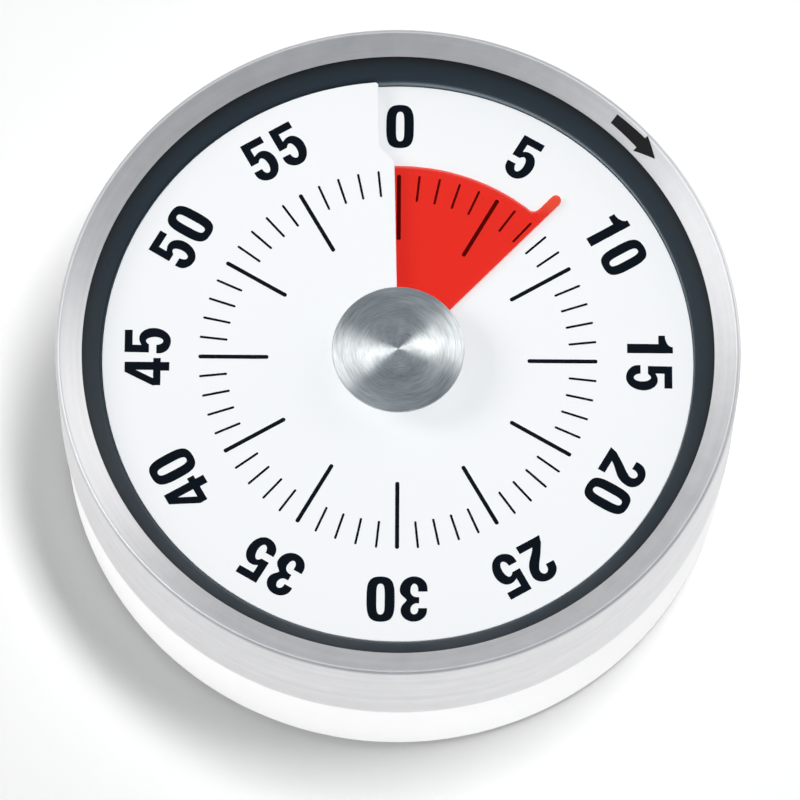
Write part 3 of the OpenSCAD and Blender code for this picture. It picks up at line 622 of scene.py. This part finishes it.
# Outlines of the numerals, in hundredths of their height. A letter after a point says
# that the line runs level (h) or upright (v) there, a capital that it bends more fully;
# the other points are corners.
digits = {
    "0": [
        [(30.7, -1.7, "H"), (61.4, 42.5, "V"), (61.4, 57.5, "V"), (30.7, 101.7, "H"),
         (0, 57.5, "V"), (0, 42.5, "V")],
        [(31.1, 14.5, "H"), (40, 39, "V"), (40, 61, "V"), (31.1, 85.3, "H"),
         (21.8, 61, "V"), (21.8, 39, "V")],
    ],
    "1": [
        [(19.7, 0), (41.3, 0), (41.3, 101), (27, 101, "v"), (0, 83.4, "h"), (0, 69), (19.7, 69)],
    ],
    "2": [
        [(0, 0.4), (58.7, 0.4), (58.7, 17.8), (27, 17.8), (60.6, 75.7, "v"),
         (30.5, 100.8, "h"), (1.5, 73, "v"), (1.5, 65.6), (20.8, 65.6), (20.8, 71, "v"),
         (30.5, 83.8, "h"), (39.4, 74.1, "v"), (33.6, 59.5), (18.1, 38.2), (4.6, 17)],
    ],
    "3": [
        [(1.5, 69.9), (20.8, 69.9), (20.8, 74, "v"), (30.1, 84.2, "h"), (37.5, 73.7, "v"),
         (24, 58.9, "h"), (18.5, 58.8), (18.5, 44.7), (24, 44.6, "h"), (37.8, 30.5, "v"),
         (29.3, 13.9, "h"), (20.8, 26.6, "v"), (20.8, 31.7), (0.4, 31.7), (0.4, 24.7, "v"),
         (29.3, -2.7, "h"), (61, 28.6, "v"), (45.6, 51.7), (59, 75.7, "v"),
         (30.9, 100.8, "h"), (1.5, 74.9, "v")],
    ],
    "4": [
        [(31.3, 98.5), (54.4, 98.5), (54.4, 35.5), (63.7, 35.5), (63.7, 19.3), (54.4, 19.3),
         (54.4, 0), (34.4, 0), (34.4, 19.3), (0.8, 19.3), (0, 36.7)],
        [(16.6, 35.5), (35.9, 35.5), (35.9, 74.1)],
    ],
    "5": [
        [(2.7, 99.2), (54.4, 99.2), (54.4, 81.9), (19.7, 81.9), (19.3, 62.5),
         (35.5, 67.2, "h"), (59, 36.3, "v"), (29, -2.7, "h"), (0, 22.8, "v"), (0, 29.3),
         (19.7, 29.3, "v"), (29, 14.3, "h"), (38.2, 32.4, "v"), (29.3, 52.1, "h"),
         (20.1, 45.6), (1.9, 45.6)],
    ],
}
# The room to the left of each sign and a sign's whole width, in the same hundredths
bearing = {"0": 5.4, "1": 9.3, "2": 5.8, "3": 5.6, "4": 4.2, "5": 6.6}
cell = 72.2

# A hundredth in millimetres, the radius that the numbers stand on, and how far some of
# them stand to one side or lower
unit = 0.0518
baseline = 26.2
shifts = {
    0: 0.09, 5: 0.04, 15: 0.05, 20: 0.24, 30: -0.05, 35: -0.2, 40: -0.55, 50: 0.12, 55: 0.14,
}
lowered = {45: 0.1}


def handle(point, other):
    """Where a curve's handle stands, on the side of the next point."""
    x, y = point[:2]
    way = point[2] if len(point) > 2 else ""
    full = 0.76 if way in ("H", "V") else 0.5523
    if way in ("h", "H"):
        return x + full * (other[0] - x), y, 0
    if way in ("v", "V"):
        return x, y + full * (other[1] - y), 0
    return x + (other[0] - x) / 3, y + (other[1] - y) / 3, 0


def digit_shape(sign):
    """A filled numeral as a flat mesh with the print's thickness."""
    curve = bpy.data.curves.new("digit " + sign, "CURVE")
    curve.dimensions, curve.fill_mode, curve.resolution_u = "2D", "BOTH", 10
    curve.extrude = print_t / unit / 2
    for outline in digits[sign]:
        line = curve.splines.new("BEZIER")
        line.bezier_points.add(len(outline) - 1)
        line.use_cyclic_u = True
        for i, (knot, point) in enumerate(zip(line.bezier_points, outline)):
            knot.handle_left_type = knot.handle_right_type = "FREE"
            knot.co = (*point[:2], 0)
            knot.handle_left = handle(point, outline[i - 1])
            knot.handle_right = handle(point, outline[(i + 1) % len(outline)])
    holder = bpy.data.objects.new("digit " + sign, curve)
    mesh = bpy.data.meshes.new_from_object(holder)
    bpy.data.objects.remove(holder)
    bpy.data.curves.remove(curve)
    return mesh


def numerals():
    """The numbers 0 to 55, each upright as seen from the axis."""
    bm = bmesh.new()
    shapes = {sign: digit_shape(sign) for sign in digits}
    for number in range(0, 60, 5):
        angle = number * 6
        signs = str(number)
        for i, sign in enumerate(signs):
            left = (i - len(signs) / 2) * cell + bearing[sign]
            known = set(bm.verts)
            bm.from_mesh(shapes[sign])
            for v in bm.verts:
                if v in known:
                    continue
                x = (v.co.x + left) * unit + shifts.get(number, 0)
                y = baseline + v.co.y * unit - lowered.get(number, 0)
                lift = print_t if v.co.z > 0 else -print_sink
                v.co = (*on_dial(x, y, angle), dial_face(angle + degrees(atan2(x, y))) + lift)
    for mesh in shapes.values():
        bpy.data.meshes.remove(mesh)
    bmesh.ops.remove_doubles(bm, verts=bm.verts[:], dist=1e-4)
    bmesh.ops.recalc_face_normals(bm, faces=bm.faces[:])
    return make(bm, "numerals", "case", "ring_black", print_black)


def minute_marks():
    """Sixty marks with rounded ends, long ones at every five minutes."""
    bm = bmesh.new()
    for minute in range(60):
        angle = minute * 6
        inner, width = short_mark if minute % 5 else long_mark
        half = width / 2
        corners = [
            bm.verts.new((x, y, 0))
            for x, y in ((-half, inner), (half, inner), (half, mark_end), (-half, mark_end))
        ]
        bm.faces.new(corners)
        rounded = bmesh.ops.bevel(
            bm, geom=corners, affect="VERTICES", offset=width * 0.45, segments=4,
            profile=0.5, material=-1,
        )["verts"]
        grown = bmesh.ops.extrude_face_region(bm, geom=[rounded[0].link_faces[0]])["geom"]
        high = {v for v in grown if isinstance(v, bmesh.types.BMVert)}
        for v in high | {w for u in high for e in u.link_edges for w in e.verts}:
            x, y = v.co.x, v.co.y
            lift = print_t if v in high else -print_sink
            v.co = (*on_dial(x, y, angle), dial_face(angle + degrees(atan2(x, y))) + lift)
    bmesh.ops.recalc_face_normals(bm, faces=bm.faces[:])
    return make(bm, "minute_marks", "case", "ring_black", print_black)


def steel_face(r):
    """Height of the shell's face at a distance from the axis."""
    touch = crest_mid[0] - crest_r * sin(face_slope)
    if r < touch:
        return face_in[1] + (r - face_in[0]) * tan(face_slope)
    return crest_mid[1] + sqrt(crest_r**2 - (r - crest_mid[0]) ** 2)


def winding_arrow():
    """A bar and a head that point clockwise, printed on the steel face."""
    bm = bmesh.new()

    def strip(starts, ends, begin, finish_at):
        """A band between two angles, with its inner and outer radius at each of them."""
        fold, steps = 6, 10
        row = [
            bm.verts.new((*on_dial(0, starts[0] + (starts[1] - starts[0]) * i / fold, begin), 0))
            for i in range(fold + 1)
        ]
        edges = [bm.edges.new(pair) for pair in zip(row, row[1:])]
        known = set(bm.verts) - set(row)
        bmesh.ops.spin(
            bm, geom=row + edges, cent=(0, 0, 0), axis=(0, 0, -1),
            angle=radians(finish_at - begin), steps=steps,
        )
        for v in bm.verts:
            if v in known:
                continue
            turn = degrees(atan2(v.co.x, v.co.y))
            share = (turn - begin) / (finish_at - begin)
            across = (hypot(v.co.x, v.co.y) - starts[0]) / (starts[1] - starts[0])
            near = starts[0] + (ends[0] - starts[0]) * share
            far = starts[1] + (ends[1] - starts[1]) * share
            v.co = (*on_dial(0, near + (far - near) * across, turn), 0)

    strip((36.95, 38.08), (36.88, 38.2), arrow_tail, arrow_neck)
    strip((36.38, 38.6), (37.495, 37.505), arrow_neck, arrow_tip)
    bmesh.ops.remove_doubles(bm, verts=bm.verts[:], dist=2e-3)
    for v in bm.verts:
        v.co.z = steel_face(hypot(v.co.x, v.co.y)) + 0.02
    bm = thickened(bm, print_t)
    return make(bm, "winding_arrow", "case", "ring_black", arrow_black)


# ---------------------------------------------------------------- knob


def steel_knob():
    """A turned disc on a neck, with a groove near its edge and a centre mark."""
    flat = knob_r - knob_round
    dome_r = (flat**2 + knob_dome**2) / (2 * knob_dome)
    dome_mid = knob_top - dome_r

    def on_dome(r, sunk=0.0):
        return r, dome_mid + sqrt(dome_r**2 - r * r) - sunk

    def sweep(a, b):
        return degrees(asin(a / dome_r) - asin(b / dome_r))

    mark_r, groove, line = 0.2, (6.44, 6.56), (7.08, 7.14)
    section = Section(*on_dome(0, 0.08))
    section.to(on_dome(0.14, 0.03), on_dome(mark_r))
    section.arc(0, dome_mid, sweep(mark_r, groove[0]), 14)
    section.to(on_dome(6.48, 0.04), on_dome(6.52, 0.04), on_dome(groove[1]))
    section.arc(0, dome_mid, sweep(groove[1], line[0]), 2)
    section.to(on_dome(7.11, 0.02), on_dome(line[1]), on_dome(flat))
    edge = on_dome(flat)[1]
    section.arc(flat, edge - knob_round, -90, 6)
    section.to(
        (knob_r, edge - 0.3), (7.0, edge - 0.62), (neck_r, knob_low + 0.3), (neck_r, knob_low),
        (bore_r, knob_low), (bore_r, bore_top), (0, bore_top),
    )
    bm = eased(turned(section.end(), 256), 0.03, 40)
    return make(bm, "steel_knob", "arbor", "knob_steel", knob_steel, "knob", even=True)


# ---------------------------------------------------------------- build

shell = steel_shell()
black_ring()
dial = white_dial()
red_film()
numerals()
minute_marks()
winding_arrow()
knob = steel_knob()

slots = {part["node"]: part["material_slot"] for part in frame["record"]["subparts"]}
for name, node in frame["nodes"].items():
    for holder in node.material_slots:
        holder.material = hub_black if name == "film_hub" else node_finishes[slots[name]]


# ---------------------------------------------------------------- floor and light


def floor():
    """A white floor. It glows a little to the camera, more in the steel, and is clear from below."""
    bm = bmesh.new()
    bmesh.ops.create_grid(bm, x_segments=1, y_segments=1, size=3.0)
    mesh = bpy.data.meshes.new("floor")
    bm.to_mesh(mesh)
    bm.free()
    look = finish("floor white")
    grain = look.noise(look.place(), 14.0, 2.0)
    plain = look.principled(
        base_color=look.blend(grain, (0.965, 0.965, 0.965), (0.975, 0.975, 0.975)),
        roughness=0.9,
        specular_ior_level=0.1,
    )
    kinds = {"Is Camera Ray": 0.13, "Is Glossy Ray": 0.7, "Is Transmission Ray": 0.05}
    seen = sum(look.add("ShaderNodeLightPath", {}, {}, kind) * part for kind, part in kinds.items())
    glow = look.add("ShaderNodeEmission", {}, {"Color": (1.0, 1.0, 1.0), "Strength": 1.0})
    top = look.add("ShaderNodeMixShader", {}, {0: seen, 1: plain, 2: glow})
    below = look.add("ShaderNodeNewGeometry", {}, {}, "Backfacing")
    clear = look.add("ShaderNodeBsdfTransparent", {}, {})
    both = look.add("ShaderNodeMixShader", {}, {0: below, 1: top, 2: clear})
    mesh.materials.append(look.surface(both))
    ground = bpy.data.objects.new("floor", mesh)
    bpy.context.scene.collection.objects.link(ground)
    return ground


def sky():
    """A pale room, dark overhead, with a broad glow at either side of the dial."""
    world = bpy.data.worlds.new("soft room")
    look = Finish(world)
    way = look.add("ShaderNodeTexCoord", {}, {}, "Generated")

    def glow(azimuth, elevation, strength):
        line = look.add(
            "ShaderNodeVectorMath", {"operation": "DOT_PRODUCT"},
            {0: way, 1: heading(azimuth, elevation)}, "Value",
        )
        return line.ramp((cos(radians(26)), 0.0), (cos(radians(9)), 1.0)) * strength

    up = look.parts(way)[2]
    tone = up.ramp(
        (0.0, (0.75, 0.75, 0.755)), (0.15, (0.60, 0.60, 0.61)), (0.3, (0.54, 0.54, 0.55)),
        (0.78, (0.45, 0.46, 0.475)), (0.9, (0.30, 0.325, 0.35)), (1.0, (0.26, 0.29, 0.325)),
    )
    dull = look.add("ShaderNodeLightPath", {}, {}, "Is Diffuse Ray")
    walls = look.add("ShaderNodeBackground", {}, {"Color": tone, "Strength": 1 - 0.68 * dull})
    sides = (glow(35, 28, 1.16) + glow(173, 39, 0.62)) * (1 - 0.85 * dull)
    panels = look.add("ShaderNodeBackground", {}, {"Color": (1.0, 0.99, 0.97), "Strength": sides})
    room = look.add("ShaderNodeAddShader", {}, {0: walls, 1: panels})
    white = look.add("ShaderNodeBackground", {}, {"Color": (1.0, 1.0, 1.0), "Strength": 1.0})
    seen = look.add("ShaderNodeLightPath", {}, {}, "Is Camera Ray")
    shown = look.add("ShaderNodeMixShader", {}, {0: seen, 1: room, 2: white})
    out = look.tree.nodes.new("ShaderNodeOutputWorld")
    look.tree.links.new(shown.socket, out.inputs["Surface"])
    bpy.context.scene.world = world


def heading(azimuth, elevation):
    """A direction. Azimuth runs anticlockwise from +X."""
    a, e = radians(azimuth), radians(elevation)
    return cos(e) * cos(a), cos(e) * sin(a), sin(e)


def softbox(
    name, azimuth, elevation, far, size, power, colour=(1, 1, 1), diffuse=True, glossy=True
):
    """A flat lamp that faces the dial from some way off."""
    way = Vector(heading(azimuth, elevation))
    lamp = bpy.data.lights.new(name, "AREA")
    lamp.shape, lamp.size, lamp.size_y = "RECTANGLE", *size
    lamp.energy, lamp.color = power, colour
    holder = bpy.data.objects.new(name, lamp)
    turn = way.to_track_quat("Z", "Y")
    holder.matrix_world = Matrix.Translation(way * far) @ turn.to_matrix().to_4x4()
    holder.visible_diffuse, holder.visible_glossy = diffuse, glossy
    holder.visible_camera = False
    bpy.context.scene.collection.objects.link(holder)
    return holder


def chosen(name, state, *pieces):
    """A list of pieces for a lamp: only these to INCLUDE them, or all but these to EXCLUDE them."""
    group = bpy.data.collections.new(name)
    for piece in pieces:
        group.objects.link(piece)
    for link in group.collection_objects:
        link.light_linking.link_state = state
    return group


def viewpoint():
    """The camera, above the dial's lower edge and a long way off."""
    azimuth, elevation, roll, far = radians(-0.95), radians(70.8), radians(1.32), 0.848
    target = Vector((0.25, -4.95, dial_mid)) * MM
    back = Vector((sin(azimuth) * cos(elevation), -cos(azimuth) * cos(elevation), sin(elevation)))
    side = Vector((0, 0, 1)).cross(back).normalized()
    up = back.cross(side)
    across = side * cos(roll) + up * sin(roll)
    upward = up * cos(roll) - side * sin(roll)
    lens = bpy.data.cameras.new("camera")
    lens.lens, lens.sensor_width = 334.67, 36.0
    lens.clip_start, lens.clip_end = 0.05, 20.0
    holder = bpy.data.objects.new("camera", lens)
    place = Matrix((across, upward, back)).transposed().to_4x4()
    holder.matrix_world = Matrix.Translation(target + back * far) @ place
    bpy.context.scene.collection.objects.link(holder)
    bpy.context.scene.camera = holder


def lights():
    """Overhead light for the shadow, low light for the case, and shine on knob and crest."""
    above = (26, 79.3, 0.8, (0.28, 0.11))
    overhead = softbox("overhead", *above, 4.5, glossy=False)
    extra = softbox("overhead for the floor", *above, 0.5, glossy=False)
    softbox("right", 42, 42, 0.62, (0.42, 0.34), 0.2, glossy=False)
    left = softbox("left", 168, 38, 0.62, (0.25, 0.25), 0.85, (1, 0.97, 0.94), glossy=False)
    low = [
        softbox("front right", -55, 11, 0.7, (0.5, 0.2), 1.7, glossy=False),
        softbox("front left", -125, 11, 0.7, (0.5, 0.2), 1.8, glossy=False),
        softbox("low left", 172, 9, 0.7, (0.4, 0.16), 1.2, glossy=False),
    ]
    warm = (1, 0.93, 0.885)
    shine = [
        softbox("knob shine right", 45, 57, 0.7, (0.26, 0.26), 0.62, warm, diffuse=False),
        softbox("knob shine left", 147, 61, 0.7, (0.28, 0.28), 0.5, warm, diffuse=False),
    ]
    crest = [
        softbox("crest over", 110, 70, 0.65, (0.45, 0.45), 0.32, diffuse=False),
        softbox("crest left", 155, 68, 0.65, (0.26, 0.26), 0.42, diffuse=False),
    ]
    overhead.light_linking.blocker_collection = chosen("all but the knob", "EXCLUDE", knob)
    reach = (
        ([left], chosen("all but the floor", "EXCLUDE", ground)),
        (low, chosen("all but floor and dial", "EXCLUDE", ground, dial)),
        ([extra], chosen("the floor", "INCLUDE", ground)),
        (shine, chosen("the knob", "INCLUDE", knob)),
        (crest, chosen("the shell", "INCLUDE", shell)),
    )
    for lamps, pieces in reach:
        for lamp in lamps:
            lamp.light_linking.receiver_collection = pieces


ground = floor()
sky()
lights()
viewpoint()
bpy.context.scene.view_settings.view_transform = "Standard"
